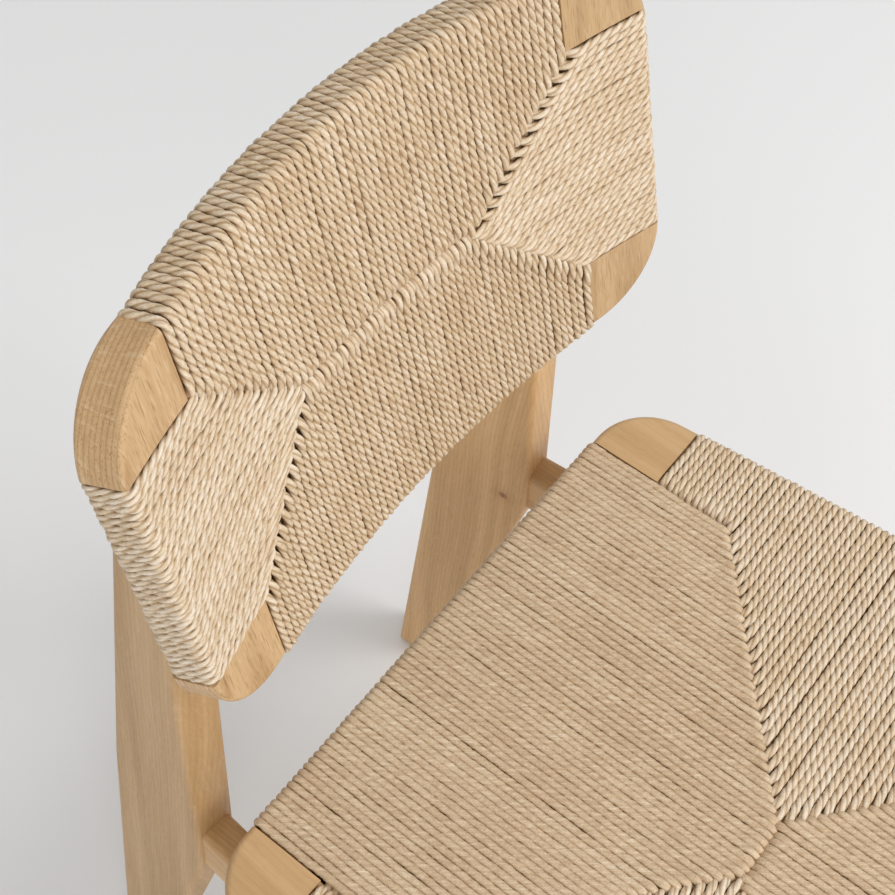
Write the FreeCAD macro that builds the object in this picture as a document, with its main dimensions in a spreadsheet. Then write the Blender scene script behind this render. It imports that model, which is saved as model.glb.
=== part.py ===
import FreeCAD, Part
import math
import os
import Sketcher

# Paper cord chair. Millimetres, +Z up, the sitter faces -Y, +X is the sitter's left.
# The origin is on the floor, under the middle of the chair.

doc = FreeCAD.newDocument("paper_cord_chair")
vector = FreeCAD.Vector

# Driving dimensions
dimensions = {
    # Seat frame, in plan, and its woven panel
    "seat_top": 445.0,
    "seat_thick": 28.0,
    "seat_back": 130.7,
    "seat_front": -277.5,
    "seat_half_back": 197.7,
    "seat_half_front": 234.2,
    "corner_long": 47.2,
    "corner_round": 39.5,
    "inner_half_back": 155.5,
    "inner_half_front": 182.0,
    "seat_rail_wide": 36.0,
    "seam_knee": 35.0,
    "seam_side": 16.0,
    "seam_middle": -84.0,
    # Paper cord
    "rebate": 4.2,
    "cord_round": 5.5,
    "face_proud": 1.2,
    "rim_proud": 1.0,
    # Backrest: an arc in plan, leaning back
    "back_radius": 516.0,
    "back_thick": 21.5,
    "back_place": 163.3,
    "back_height": 698.0,
    "recline": 12.5,
    "back_span": 37.8,
    "back_top": 102.0,
    "back_bottom": 107.0,
    "back_inner_half": 64.5,
    "back_inner_wide": 122.0,
    "back_round": 45.0,
    "back_edge_round": 2.5,
    "back_seam_left": 55.0,
    "back_seam_right": -62.0,
    "back_seam_left_height": 3.0,
    "back_seam_right_height": 8.0,
    "top_rim": 103.0,
    "top_crown": 18.5,
    "bottom_rim": 109.5,
    "bottom_crown": 6.0,
    "tenon_long": 18.0,
    "tenon_low": 74.0,
    "tenon_high": 90.0,
    # Side frames: planks that toe out to the front and lean in to the top
    "leg_thick": 28.0,
    "side_rail_thick": 21.0,
    "frame_yaw": 4.3,
    "frame_lean": 2.95,
    "frame_half": 173.8,
    "frame_place": 167.5,
    "rail_top": 382.0,
    "rail_high": 42.0,
    "foot_wide": 29.0,
    "rear_foot_back": 279.0,
    "rear_knee_back": 234.5,
    "rear_knee_height": 400.0,
    "rear_knee_front": 166.5,
    "rear_waist_back": 195.5,
    "rear_waist_height": 675.0,
    "rear_top_back": 205.0,
    "rear_top_front": 168.5,
    "rear_top_height": 748.0,
    "knee_round": 320.0,
    "waist_round": 170.0,
    "under_round": 120.0,
    "tip_round": 7.0,
    "front_foot_front": -262.5,
    "front_top_front": -268.0,
    "front_top_back": -213.0,
    "edge_round": 4.0,
    "glide_high": 3.0,
    "glide_wide": 20.0,
    # Cross rails
    "rear_cross_half": 186.0,
    "rear_cross_place": 107.0,
    "rear_cross_wide": 28.0,
    "rear_cross_lap": 8.0,
    "rear_cross_relief": 12.0,
    "front_cross_place": -246.0,
    "front_cross_wide": 20.0,
    # Fixings
    "dowel_wide": 8.0,
    "dowel_long": 40.0,
    "cross_dowel_long": 35.0,
    "seat_dowel_share": 0.3,
    "rail_dowel_share": 0.27,
    "peg_spread": 9.0,
    "peg_outward": 4.0,
    "plug_wide": 10.0,
    "screw_wide": 4.5,
    "screw_low": -6.0,
    "screw_high": 30.0,
    "screw_tip": 3.0,
    "screw_seat": 10.0,
    "head_wide": 9.0,
    "head_high": 4.0,
    "head_room": 1.0,
    "spacer_wide": 14.0,
    "leg_gap": 0.3,
}
sheet = doc.addObject("Spreadsheet::Sheet", "dims")
for row, (alias, value) in enumerate(dimensions.items(), start=1):
    sheet.set(f"A{row}", alias)
    sheet.set(f"B{row}", str(value))
    sheet.setAlias(f"B{row}", alias)
doc.recompute()

nodes = {}
SIDES = {"left": 1, "right": -1}
UP = vector(0, 0, 1)
# How close, in millimetres, counts as lying on a face, and as lying near an edge
EXACT = 1e-3
NEAR = 1.0


def size(expression):
    """The value of an expression written in the sheet's names."""
    return float(sheet.evalExpression(named(expression)))


def named(expression):
    """Put the sheet's name before each of its aliases in an expression."""
    words = []
    word = ""
    for letter in str(expression) + " ":
        if letter.isalnum() or letter in "_.":
            word += letter
            continue
        words.append(f"dims.{word}" if word in dimensions else word)
        words.append(letter)
        word = ""
    return "".join(words).strip()


def new_body(name):
    return doc.addObject("PartDesign::Body", name)


def corner_arc(before, corner, after, radius):
    """The arc that rounds a corner, where it meets the two lines, and whether the outline turns left."""
    back = (before - corner).normalize()
    ahead = (after - corner).normalize()
    half = back.getAngle(ahead) / 2
    centre = corner + (back + ahead).normalize() * (radius / math.sin(half))
    meets = [corner + way * (radius / math.tan(half)) for way in (back, ahead)]
    angles = [math.atan2(place.y - centre.y, place.x - centre.x) for place in meets]
    left = back.cross(ahead).z < 0
    if not left:
        angles.reverse()
    return Part.ArcOfCircle(Part.Circle(centre, UP, radius), *angles), meets, left


def draw(body, name, plane, *loops):
    """A sketch of closed outlines. A corner is two rules, across and up, and may have a radius.

    Every corner is bound to the sheet, and a rounded one stands where its two lines would meet.
    """
    sketch = body.newObject("Sketcher::SketchObject", name)
    support = [face for face in body.Origin.OriginFeatures if face.Role == plane][0]
    sketch.AttachmentSupport = [(support, "")]
    sketch.MapMode = "FlatFace"
    for corners in loops:
        count = len(corners)
        places = [vector(size(corner[0]), size(corner[1]), 0) for corner in corners]
        bends = {}
        for index, corner in enumerate(corners):
            if len(corner) > 2:
                around = (places[index - 1], places[index], places[(index + 1) % count])
                bends[index] = corner_arc(*around, size(corner[2]))
        ends = [bends[index][1] if index in bends else (place, place) for index, place in enumerate(places)]
        lines = [sketch.addGeometry(Part.LineSegment(ends[index][1], ends[(index + 1) % count][0]))
                 for index in range(count)]
        for index, corner in enumerate(corners):
            line, last = lines[index], lines[index - 1]
            if index not in bends:
                sketch.addConstraint(Sketcher.Constraint("Coincident", last, 2, line, 1))
                held = (line, 1)
            else:
                arc, meets, left = bends[index]
                bend = sketch.addGeometry(arc)
                held = (sketch.addGeometry(Part.Point(places[index]), True), 1)
                first, second = (1, 2) if left else (2, 1)
                sketch.addConstraint(Sketcher.Constraint("Tangent", last, 2, bend, first))
                sketch.addConstraint(Sketcher.Constraint("Tangent", bend, second, line, 1))
                sketch.addConstraint(Sketcher.Constraint("PointOnObject", held[0], 1, last))
                sketch.addConstraint(Sketcher.Constraint("PointOnObject", held[0], 1, line))
                bound = sketch.addConstraint(Sketcher.Constraint("Radius", bend, size(corner[2])))
                sketch.setExpression(f"Constraints[{bound}]", named(corner[2]))
            rules = (("DistanceX", corner[0], places[index].x), ("DistanceY", corner[1], places[index].y))
            for kind, rule, value in rules:
                bound = sketch.addConstraint(Sketcher.Constraint(kind, -1, 1, *held, value))
                sketch.setExpression(f"Constraints[{bound}]", named(rule))
    return sketch


def pad(body, name, sketch, thickness):
    """A plank of the sketch's outline, half to each side of the sketch."""
    plank = body.newObject("PartDesign::Pad", name)
    plank.Profile = sketch
    plank.SideType = "Symmetric"
    plank.setExpression("Length", named(thickness))
    doc.recompute()
    return plank


def pocket(body, name, sketch):
    """Cut the sketch's outline through the whole body."""
    before = body.Shape.Volume
    hole = body.newObject("PartDesign::Pocket", name)
    hole.Profile = sketch
    hole.SideType = "Symmetric"
    hole.Type = "ThroughAll"
    doc.recompute()
    if body.Shape.Volume > before - 1.0:
        raise RuntimeError(f"{name} cuts nothing")
    return hole


def turn(body, name, sketch, angle):
    """Turn the sketch about the body's Z axis, half the angle to each side."""
    ring = body.newObject("PartDesign::Revolution", name)
    ring.Profile = sketch
    ring.ReferenceAxis = (sketch, ["V_Axis"])
    ring.Midplane = True
    ring.setExpression("Angle", named(angle))
    doc.recompute()
    return ring


def groove(body, name, sketch):
    """Turn the sketch about the body's Z axis, taking away what it sweeps."""
    before = body.Shape.Volume
    ring = body.newObject("PartDesign::Groove", name)
    ring.Profile = sketch
    ring.ReferenceAxis = (sketch, ["V_Axis"])
    ring.Angle = 360
    doc.recompute()
    if body.Shape.Volume > before - 1.0:
        raise RuntimeError(f"{name} cuts nothing")
    return ring


def round_edges(body, name, radius, wanted):
    """Round the edges of the body that the wanted test picks."""
    base = body.Tip
    edges = [f"Edge{index}" for index, edge in enumerate(base.Shape.Edges, start=1) if wanted(edge)]
    if not edges:
        raise RuntimeError(f"{name} finds no edge")
    rounding = body.newObject("PartDesign::Fillet", name)
    rounding.Base = (base, edges)
    rounding.setExpression("Radius", named(radius))
    doc.recompute()
    return rounding


def middle(edge):
    low, high = edge.ParameterRange
    return edge.valueAt((low + high) / 2)


def along(axis):
    """A test for straight edges that run along one axis, 0 for X, 1 for Y, 2 for Z."""
    def wanted(edge):
        if not isinstance(edge.Curve, Part.Line):
            return False
        return abs(abs(edge.Curve.Direction[axis]) - 1) < EXACT
    return wanted


def along_at(axis, places):
    """A test for straight edges along an axis that pass near one of the places across it."""
    others = [index for index in range(3) if index != axis]
    straight = along(axis)

    def wanted(edge):
        if not straight(edge):
            return False
        centre = middle(edge)
        seen = (centre[others[0]], centre[others[1]])
        return any(math.dist(seen, (size(a), size(b))) < NEAR for a, b in places)
    return wanted


def on_faces(axis, reach):
    """A test for edges that lie in the two faces square to an axis, at plus and minus reach."""
    def wanted(edge):
        box = edge.BoundBox
        low = (box.XMin, box.YMin, box.ZMin)[axis]
        high = (box.XMax, box.YMax, box.ZMax)[axis]
        return high - low < EXACT and abs(abs(middle(edge)[axis]) - size(reach)) < EXACT
    return wanted


def rod(name, wide, long, start, direction, frame=FreeCAD.Placement()):
    """A round bar from start along a direction, both given in a frame."""
    bar = doc.addObject("Part::Cylinder", name)
    bar.setExpression("Radius", named(f"({wide}) / 2"))
    bar.setExpression("Height", named(long))
    turned = FreeCAD.Rotation(UP, direction)
    bar.Placement = frame.multiply(FreeCAD.Placement(start, turned))
    return bar


def cut(name, base, *tools):
    """Take one or more pieces out of a base."""
    result = base
    for index, tool in enumerate(tools):
        step = doc.addObject("Part::Cut", name if index == len(tools) - 1 else f"{name}_step{index}")
        step.Base = result
        step.Tool = tool
        result = step
    doc.recompute()
    return result


def shared(name, first, second):
    """The space that two pieces have in common."""
    both = doc.addObject("Part::Common", name)
    both.Base = first
    both.Tool = second
    doc.recompute()
    return both


def joined(name, pieces):
    whole = doc.addObject("Part::MultiFuse", name)
    whole.Shapes = pieces
    doc.recompute()
    return whole


def group(name, pieces):
    whole = doc.addObject("Part::Compound", name)
    whole.Links = pieces
    doc.recompute()
    return whole


# Frames that the pieces are drawn in
seat_frame = FreeCAD.Placement(vector(0, 0, size("seat_top - seat_thick / 2")), FreeCAD.Rotation())


def side_frame(side):
    """Floor point and directions of a side frame: X across the plank, Y to the back, Z up the plank."""
    yaw = FreeCAD.Rotation(UP, side * size("frame_yaw"))
    lean = FreeCAD.Rotation(vector(0, 1, 0), -side * size("frame_lean"))
    return FreeCAD.Placement(vector(side * size("frame_half"), size("frame_place"), 0), yaw.multiply(lean))


def back_frame():
    """Centre of the backrest's arc, with Z up the leaning backrest and its front face at the radius in Y."""
    turned = FreeCAD.Rotation(vector(1, 0, 0), -size("recline"))
    middle_of_face = vector(0, size("back_place"), size("back_height"))
    place = middle_of_face - turned.multVec(vector(0, size("back_radius"), 0))
    return FreeCAD.Placement(place, turned)


# Seat frame
weave_back = "seat_back - corner_long"
weave_front = "seat_front + corner_long"
splay = "(seat_half_front - seat_half_back) / (seat_back - seat_front)"
outer_weave_back = f"seat_half_back + {splay} * corner_long"
outer_weave_front = f"seat_half_front - {splay} * corner_long"
cord_back = "seat_back + rim_proud"
cord_front = "seat_front - rim_proud"
wood_thick = "(seat_thick - face_proud)"
wood_middle = vector(0, 0, size(f"seat_top - seat_thick + {wood_thick} / 2"))
wood_frame = FreeCAD.Placement(wood_middle, FreeCAD.Rotation())


def mirrored(corners, side):
    """The same outline on the sitter's left, or turned over to the right."""
    return [(across if side > 0 else f"-({across})", up) for across, up in corners]


def seat_side_rail(name, side):
    """Side rail with the bare round corners at its ends, rebated between them for the cord."""
    body = new_body(f"{name}_body")
    outline = [
        ("seat_half_back", "seat_back"),
        ("inner_half_back", "seat_back"),
        ("inner_half_back", weave_back),
        ("inner_half_front", weave_front),
        ("inner_half_front", "seat_front"),
        ("seat_half_front", "seat_front"),
    ]
    plan = draw(body, f"{name}_plan", "XY_Plane", mirrored(outline, side))
    pad(body, f"{name}_plank", plan, wood_thick)
    ends = [("seat_half_back", "seat_back"), ("seat_half_front", "seat_front")]
    round_edges(body, f"{name}_corners", "corner_round", along_at(2, mirrored(ends, side)))
    face = f"{wood_thick} / 2"

    def outer_edge(edge):
        place = middle(edge)
        at_end = min(abs(place.y - size(end)) for end in ("seat_back", "seat_front")) < EXACT
        outside = at_end or abs(place.x) > size("inner_half_front") + EXACT
        return outside and on_faces(2, face)(edge)

    round_edges(body, f"{name}_edges", "edge_round", outer_edge)
    limits = [(f"{face} + face_proud - rebate", "seat_thick"), (f"rebate - {face}", "-seat_thick")]
    layers = [[(weave_front, near), (weave_back, near), (weave_back, far), (weave_front, far)]
              for near, far in limits]
    pocket(body, f"{name}_faces", draw(body, f"{name}_rebates", "YZ_Plane", *layers))
    strip = [
        (f"{outer_weave_back} + rim_proud - rebate", weave_back),
        (f"{outer_weave_front} + rim_proud - rebate", weave_front),
        (f"{outer_weave_front} + seat_thick", weave_front),
        (f"{outer_weave_back} + seat_thick", weave_back),
    ]
    pocket(body, f"{name}_side", draw(body, f"{name}_strip", "XY_Plane", mirrored(strip, side)))
    body.Placement = wood_frame
    return body


def seat_cross_member(name, half, edge, inward):
    """Straight seat rail between the side rails, thin enough to leave room for the cord round it."""
    body = new_body(f"{name}_body")
    outer = f"{edge} + ({inward}) * (rebate - rim_proud)"
    inner = f"{outer} + ({inward}) * seat_rail_wide"
    outline = [(f"-{half}", outer), (half, outer), (half, inner), (f"-{half}", inner)]
    thin = "seat_thick - 2 * rebate"
    pad(body, f"{name}_plank", draw(body, f"{name}_plan", "XY_Plane", outline), thin)
    round_edges(body, f"{name}_edges", "edge_round", along(0))
    body.Placement = seat_frame
    return body


def seat_panel(name, outline, outer_edges, rail):
    """One woven section: a slab to the seams, rounded over the rail that runs inside it."""
    body = new_body(f"{name}_body")
    pad(body, f"{name}_slab", draw(body, f"{name}_plan", "XY_Plane", outline), "seat_thick")

    def over_rail(edge):
        return on_faces(2, "seat_thick / 2")(edge) and outer_edges(middle(edge))

    round_edges(body, f"{name}_wrap", "cord_round", over_rail)
    body.Placement = seat_frame
    return cut(name, body, rail)


seat_rails = {
    "seat_left_rail": seat_side_rail("seat_left_rail", SIDES["left"]),
    "seat_right_rail": seat_side_rail("seat_right_rail", SIDES["right"]),
    "seat_back_rail": seat_cross_member("seat_back_rail", "inner_half_back", "seat_back", "-1"),
    "seat_front_rail": seat_cross_member("seat_front_rail", "inner_half_front", "seat_front", "1"),
}
seams = {
    "back": [("-inner_half_back", cord_back), ("-inner_half_back", "seam_knee"),
             ("-seam_side", "seam_middle"), ("seam_side", "seam_middle"),
             ("inner_half_back", "seam_knee"), ("inner_half_back", cord_back)],
    "front": [("-inner_half_front", cord_front), ("inner_half_front", cord_front),
              ("inner_half_front", weave_front), ("seam_side", "seam_middle"), ("-seam_side", "seam_middle"),
              ("-inner_half_front", weave_front)],
}
side_seams = [
    (f"{outer_weave_back} + rim_proud", weave_back),
    ("inner_half_back", weave_back),
    ("inner_half_back", "seam_knee"),
    ("seam_side", "seam_middle"),
    ("inner_half_front", weave_front),
    (f"{outer_weave_front} + rim_proud", weave_front),
]
outer_edges = {
    "back": lambda place: place.y > size(cord_back) - NEAR,
    "front": lambda place: place.y < size(cord_front) + NEAR,
    "side": lambda place: abs(place.x) > size("inner_half_front") + NEAR,
}
for word in ("back", "front"):
    nodes[f"seat_cord_{word}"] = seat_panel(
        f"seat_cord_{word}", seams[word], outer_edges[word], seat_rails[f"seat_{word}_rail"])
for word, side in SIDES.items():
    nodes[f"seat_cord_{word}"] = seat_panel(
        f"seat_cord_{word}", mirrored(side_seams, side), outer_edges["side"], seat_rails[f"seat_{word}_rail"])

# Dowels between the seat's rails
seat_dowels = []
for side in SIDES.values():
    for half, edge, inward in (("inner_half_back", "seat_back", -1), ("inner_half_front", "seat_front", 1)):
        for share in ("seat_dowel_share", "(1 - seat_dowel_share)"):
            place = size(edge) + inward * size(f"rebate - rim_proud + seat_rail_wide * {share}")
            start = vector(side * size(f"{half} - dowel_long / 2"), place, 0)
            seat_dowels.append(rod(f"seat_dowel_{len(seat_dowels)}", "dowel_wide", "dowel_long", start,
                                   vector(side, 0, 0), seat_frame))

# Backrest frame and its woven panel
lean_back = back_frame()
cord_face = "back_radius - face_proud"
back_end = "back_radius * sin(back_span / 2)"
# Reaches that clear the backrest's ends and rims, and the trimming frame outside them
past_end = "1.9 * back_inner_wide"
past_rim = "1.5 * back_bottom"
far_out = "2 * back_inner_wide"
far_up = "2 * back_bottom"


def back_ring(name, face, bottom, top):
    """One curved slab over the whole backrest, to be cut to a piece."""
    body = new_body(f"{name}_body")
    rear = "back_radius + back_thick"
    section = [(face, f"-{bottom}"), (rear, f"-{bottom}"), (rear, top), (face, top)]
    turn(body, f"{name}_ring", draw(body, f"{name}_section", "YZ_Plane", section), "back_span")
    body.Placement = lean_back
    return body


def keep_inside(body, name, outline):
    """Seen from the front, cut away all that lies outside an outline."""
    end = [(far_out, f"-{far_up}"), (far_out, far_up)]
    frame = [*end, *reversed(mirrored(end, SIDES["right"]))]
    pocket(body, f"{name}_trim", draw(body, f"{name}_outline", "XZ_Plane", frame, outline))


def back_post(name, side):
    """End post with its two bare round corners, rebated between them for the cord."""
    body = back_ring(name, "back_radius", "back_bottom", "back_top")
    outline = [("back_inner_wide", f"-{past_rim}"), (past_end, f"-{past_rim}"), (past_end, past_rim),
               ("back_inner_wide", past_rim)]
    keep_inside(body, name, mirrored(outline, side))

    def outer_corner(edge):
        place = middle(edge)
        at_rim = min(abs(place.z - size(rim)) for rim in ("back_top", "-back_bottom")) < EXACT
        short = edge.Length < size("back_thick") + NEAR
        return at_rim and short and abs(place.x) > size("back_inner_wide + back_thick")

    def outer_rim(edge):
        place = middle(edge)
        radius = math.hypot(place.x, place.y)
        on_face = any(abs(radius - size(face)) < NEAR for face in (front_face, rear_face))
        return on_face and abs(place.x) > size("back_inner_wide") + NEAR

    front_face = "back_radius"
    rear_face = "back_radius + back_thick"
    round_edges(body, f"{name}_corners", "back_round", outer_corner)
    round_edges(body, f"{name}_edges", "back_edge_round", outer_rim)
    layers = [(f"{face} - rebate", f"{face} + rebate") for face in (cord_face, rear_face)]
    low, high = "-back_inner_half", "back_inner_half"
    faces = [[(inside, low), (outside, low), (outside, high), (inside, high)] for inside, outside in layers]
    groove(body, f"{name}_faces", draw(body, f"{name}_rebates", "YZ_Plane", *faces))
    recess = f"{back_end} - rebate"
    strip = [(recess, "-back_inner_half"), (far_out, "-back_inner_half"), (far_out, "back_inner_half"),
             (recess, "back_inner_half")]
    pocket(body, f"{name}_side", draw(body, f"{name}_strip", "XZ_Plane", mirrored(strip, side)))
    return body


def back_rail(word, sign):
    """Curved rail with a tenon at each end; sign is 1 for the top rail and -1 for the bottom rail."""
    name = f"back_{word}_rail"
    body = new_body(f"{name}_body")
    low = f"({sign}) * back_inner_half"
    high = f"({sign}) * ({word}_rim - rebate)"
    front = f"{cord_face} + rebate"
    rear = "back_radius + back_thick - rebate"
    section = [(front, low), (rear, low), (rear, high), (front, high)]
    turn(body, f"{name}_ring", draw(body, f"{name}_section", "YZ_Plane", section), "back_span")

    def long_edge(edge):
        return edge.Length > size("back_inner_wide")

    round_edges(body, f"{name}_edges", "edge_round", long_edge)
    shoulder = "back_inner_wide"
    tip = "back_inner_wide + tenon_long"
    tenon_low = f"({sign}) * tenon_low"
    tenon_high = f"({sign}) * tenon_high"
    beyond = f"({sign}) * {past_rim}"
    end = [(shoulder, "0"), (shoulder, tenon_low), (tip, tenon_low), (tip, tenon_high),
           (shoulder, tenon_high), (shoulder, beyond)]
    keep_inside(body, name, [*end, *reversed(mirrored(end, SIDES["right"]))])
    body.Placement = lean_back
    return body


def back_panel(name, outline, outer_edges, *cores):
    """One woven section of the backrest, to the seams, round the rail or post inside it."""
    body = back_ring(name, cord_face, past_rim, past_rim)
    keep_inside(body, name, outline)
    round_edges(body, f"{name}_wrap", "cord_round", outer_edges)
    return cut(name, body, *cores)


LEVELS = {"top": 1, "bottom": -1}
back_rails = {f"back_{word}_rail": back_rail(word, sign) for word, sign in LEVELS.items()}
posts = {}
for word, side in SIDES.items():
    name = f"back_{word}_post"
    posts[name] = cut(f"{name}_mortised", back_post(name, side), *back_rails.values())
seam_left = ("back_seam_left", "back_seam_left_height")
seam_right = ("back_seam_right", "back_seam_right_height")


def level_section(word, sign):
    """Top or bottom section, seen from the front, from its crowned rim to the middle seam."""
    inner = f"({sign}) * back_inner_half"
    rim = f"({sign}) * {word}_rim"
    crown = ("0", f"{rim} + ({sign}) * {word}_crown", f"0.9 * back_inner_wide ^ 2 / {word}_crown")
    return [("-back_inner_wide", rim), crown, ("back_inner_wide", rim), ("back_inner_wide", inner), seam_left,
            seam_right, ("-back_inner_wide", inner)]


def end_section(side, seam):
    """Left or right section, seen from the front, from the post to the point of the seams."""
    corner = "back_inner_wide" if side > 0 else "-back_inner_wide"
    beyond = past_end if side > 0 else f"-{past_end}"
    return [(beyond, "back_inner_half"), (corner, "back_inner_half"), seam, (corner, "-back_inner_half"),
            (beyond, "-back_inner_half")]


def level_rim(sign):
    def wanted(edge):
        return sign * middle(edge).z > size("tenon_high") and edge.Length > size("back_inner_wide")
    return wanted


def end_rim(edge):
    place = middle(edge)
    upright = edge.BoundBox.ZLength > size("back_inner_half")
    return upright and abs(place.x) > size(back_end) - NEAR


for word, sign in LEVELS.items():
    nodes[f"back_cord_{word}"] = back_panel(
        f"back_cord_{word}", level_section(word, sign), level_rim(sign), back_rails[f"back_{word}_rail"])


def back_fixing(tag, side, height):
    """A screw from behind the rear leg, the plug over it, and the spacer that it runs through."""
    rear = size("back_radius + back_thick")
    level = lean_back.multVec(vector(0, rear, height)).z
    across = abs(side_frame(side).multVec(vector(0, 0, level)).x)
    angle = math.asin(across / rear)
    outward = vector(side * math.sin(angle), math.cos(angle), 0)

    def bar(name, wide, long, depth):
        start = outward * size(f"back_radius + {depth}") + vector(0, 0, height)
        return rod(f"back_{name}_{tag}", wide, long, start, outward, lean_back)

    tip = "rebate + screw_tip"
    seat = "back_thick + screw_seat"
    shank = bar("shank", "screw_wide", f"{seat} - ({tip})", tip)
    head = bar("head", "head_wide", "head_high", seat)
    plug = bar("plug_bar", "plug_wide", "2 * back_thick", f"{seat} + head_high")
    spacer = bar("spacer_bar", "spacer_wide", "rebate + leg_gap", "back_thick - rebate")
    return joined(f"back_screw_{tag}", [shank, head]), plug, spacer


# Fixings of the backrest
screws, plug_bars, spacers = {}, {}, []
for word, side in SIDES.items():
    fixings = [back_fixing(f"{word}_{height}", side, size(height)) for height in ("screw_low", "screw_high")]
    screws[word] = [screw for screw, plug, spacer in fixings]
    plug_bars[word] = [plug for screw, plug, spacer in fixings]
    bars = [spacer for screw, plug, spacer in fixings]
    spacers += [cut(f"{bar.Name}_drilled", bar, screw) for bar, screw in zip(bars, screws[word])]
    post = posts[f"back_{word}_post"]
    outline = end_section(side, seam_left if side > 0 else seam_right)
    holes = group(f"back_spacer_holes_{word}", bars)
    nodes[f"back_cord_{word}"] = back_panel(f"back_cord_{word}", outline, end_rim, post, holes)
    screw_holes = group(f"back_screw_holes_{word}", screws[word])
    nodes[f"back_{word}_post"] = cut(f"back_{word}_post", post, screw_holes)
nodes["back_screws"] = group("back_screws", screws["left"] + screws["right"])
nodes["back_spacers"] = group("back_spacers", spacers)
nodes.update(back_rails)

# Side frames
back_space = doc.addObject("Part::Cylinder", "back_space")
back_space.setExpression("Radius", named("back_radius + back_thick + leg_gap"))
back_space.setExpression("Height", named(f"2 * {past_rim}"))
below_rim = vector(0, 0, -size(past_rim))
back_space.Placement = lean_back.multiply(FreeCAD.Placement(below_rim, FreeCAD.Rotation()))


def slab(name, bottom):
    """A flat block over the whole plan of the chair, as high as the seat frame is thick."""
    block = doc.addObject("Part::Box", name)
    block.setExpression("Length", named("4 * frame_half"))
    block.setExpression("Width", named("4 * frame_half"))
    block.setExpression("Height", named("seat_thick"))
    block.Placement.Base = vector(-2 * size("frame_half"), -2 * size("frame_half"), size(bottom))
    return block


floor_space = slab("floor_space", "glide_high - seat_thick")
seat_space = slab("seat_space", "seat_top - seat_thick")
# The legs are drawn past the floor and the seat, and cut to them
foot_low = "-2 * glide_high"
leg_high = "seat_top - rebate"


def in_frame(corners):
    """Outline corners measured from the side frame's own floor point."""
    return [(f"{place} - frame_place", *rest) for place, *rest in corners]


def plank_rims(*end_heights):
    """A test for the edges round a leg's two faces, but not those of its cut ends."""
    on_face = on_faces(0, "leg_thick / 2")

    def wanted(edge):
        height = middle(edge).z
        return on_face(edge) and all(abs(height - size(end)) > NEAR for end in end_heights)
    return wanted


def rear_leg_plank(name, side):
    """Rear leg: a bent plank, widest at the side rail, with softened edges."""
    body = new_body(f"{name}_body")
    corners = [
        ("rear_foot_back - foot_wide", foot_low),
        ("rear_foot_back", foot_low),
        ("rear_knee_back", "rear_knee_height", "knee_round"),
        ("rear_waist_back", "rear_waist_height", "waist_round"),
        ("rear_top_back", "rear_top_height", "tip_round"),
        ("rear_top_front", "rear_top_height", "tip_round"),
        ("rear_knee_front", "rail_top - rail_high", "under_round"),
    ]
    pad(body, f"{name}_plank", draw(body, f"{name}_profile", "YZ_Plane", in_frame(corners)), "leg_thick")
    round_edges(body, f"{name}_edges", "edge_round", plank_rims(foot_low))
    body.Placement = side_frame(side)
    return body


def front_leg_plank(name, side):
    """Front leg: a straight plank that tapers to the floor."""
    body = new_body(f"{name}_body")
    corners = [
        ("front_foot_front", foot_low),
        ("front_foot_front + foot_wide", foot_low),
        ("front_top_back", "rail_top - rail_high", "under_round"),
        ("front_top_back", leg_high),
        ("front_top_front", leg_high),
    ]
    pad(body, f"{name}_plank", draw(body, f"{name}_profile", "YZ_Plane", in_frame(corners)), "leg_thick")
    round_edges(body, f"{name}_edges", "edge_round", plank_rims(foot_low, leg_high))
    body.Placement = side_frame(side)
    return body


def side_rail_bar(name, side):
    """Side rail, long enough to run into both legs before it is fitted to them."""
    body = new_body(f"{name}_body")
    low = "rail_top - rail_high"
    corners = [("front_top_back - dowel_wide", low), ("rear_knee_front + dowel_wide", low),
               ("rear_knee_front + dowel_wide", "rail_top"), ("front_top_back - dowel_wide", "rail_top")]
    pad(body, f"{name}_bar", draw(body, f"{name}_profile", "YZ_Plane", in_frame(corners)), "side_rail_thick")
    round_edges(body, f"{name}_edges", "edge_round", along(1))
    body.Placement = side_frame(side)
    return body


def rear_cross():
    """Rear cross rail: its raised ends carry the seat's back corners and its middle clears the cord."""
    body = new_body("rear_cross_rail_body")
    low = "rail_top - rear_cross_lap"
    high = "seat_top - seat_thick"
    dip = f"{high} - rear_cross_relief"
    pad_in = "inner_half_back"
    slope_in = "inner_half_back - rear_cross_relief"
    outline = [("-rear_cross_half", low), ("rear_cross_half", low), ("rear_cross_half", high), (pad_in, high),
               (slope_in, dip), (f"-({slope_in})", dip), (f"-{pad_in}", high), ("-rear_cross_half", high)]
    profile = draw(body, "rear_cross_rail_profile", "XZ_Plane", outline)
    pad(body, "rear_cross_rail_bar", profile, "rear_cross_wide")
    body.Placement.Base = vector(0, size("rear_cross_place"), 0)
    return body


def front_cross():
    """Front cross rail between the front legs, long enough to be fitted to both."""
    body = new_body("front_cross_rail_body")
    low = "rail_top - rail_high"
    outline = [("-inner_half_front", low), ("inner_half_front", low), ("inner_half_front", "rail_top"),
               ("-inner_half_front", "rail_top")]
    profile = draw(body, "front_cross_rail_profile", "XZ_Plane", outline)
    pad(body, "front_cross_rail_bar", profile, "front_cross_wide")
    round_edges(body, "front_cross_rail_edges", "edge_round", along(0))
    body.Placement.Base = vector(0, size("front_cross_place"), 0)
    return body


def plank_middle(side, place, height):
    """How far across the chair the middle of a side frame is, at a depth and a height."""
    return side_frame(side).multVec(vector(0, size(f"{place} - frame_place"), size(height))).x


def rail_dowel_heights():
    return [f"rail_top - {share} * rail_high" for share in ("rail_dowel_share", "(1 - rail_dowel_share)")]


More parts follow.
